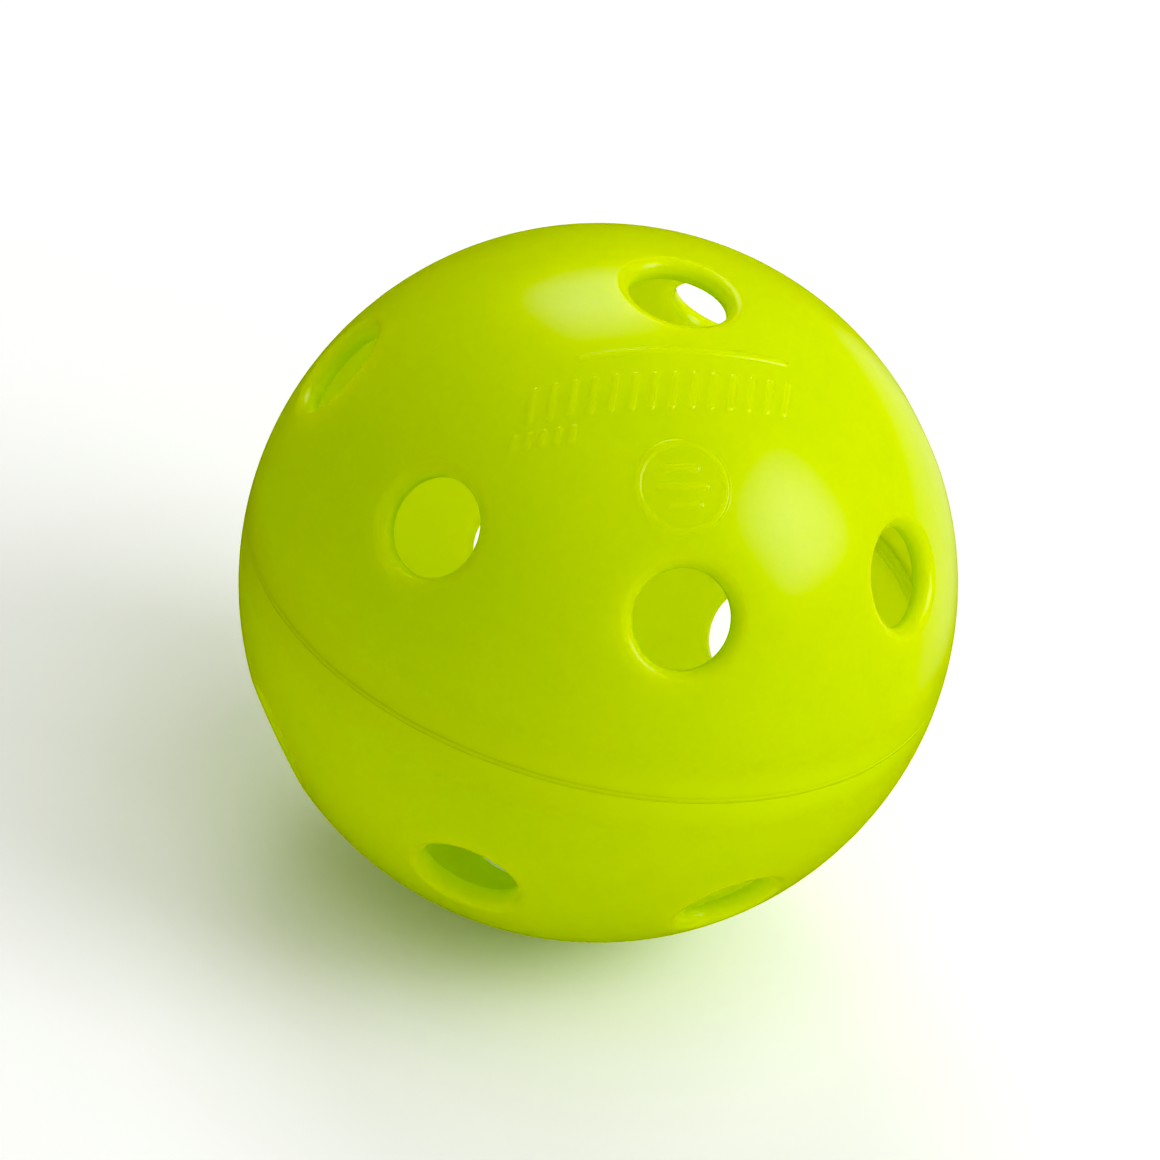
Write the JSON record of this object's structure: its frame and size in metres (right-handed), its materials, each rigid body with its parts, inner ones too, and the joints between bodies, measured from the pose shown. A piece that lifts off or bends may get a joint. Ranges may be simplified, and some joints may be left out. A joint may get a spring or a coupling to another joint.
{
  "type": "pickleball ball",
  "caption": "Hollow perforated plastic ball, welded from moulded half shells, with a round hole at each pole and a staggered ring of holes on each side of the seam.",
  "frame": {"origin": "the centre of the ball, on the weld seam's plane", "axes": "+Z along the axis through the two polar holes; the seam lies in the XY plane; one hole of the upper ring faces -Y, and +X completes the right-handed set"},
  "size_m": [0.074, 0.074, 0.0728],
  "materials": {
    "shell_plastic": "satin",
    "weld_plastic": "satin"
  },
  "bodies": {
    "root": {"upper_half_shell": "shell_plastic", "lower_half_shell": "shell_plastic", "weld_bead": "weld_plastic"}
  },
  "joints": []
}
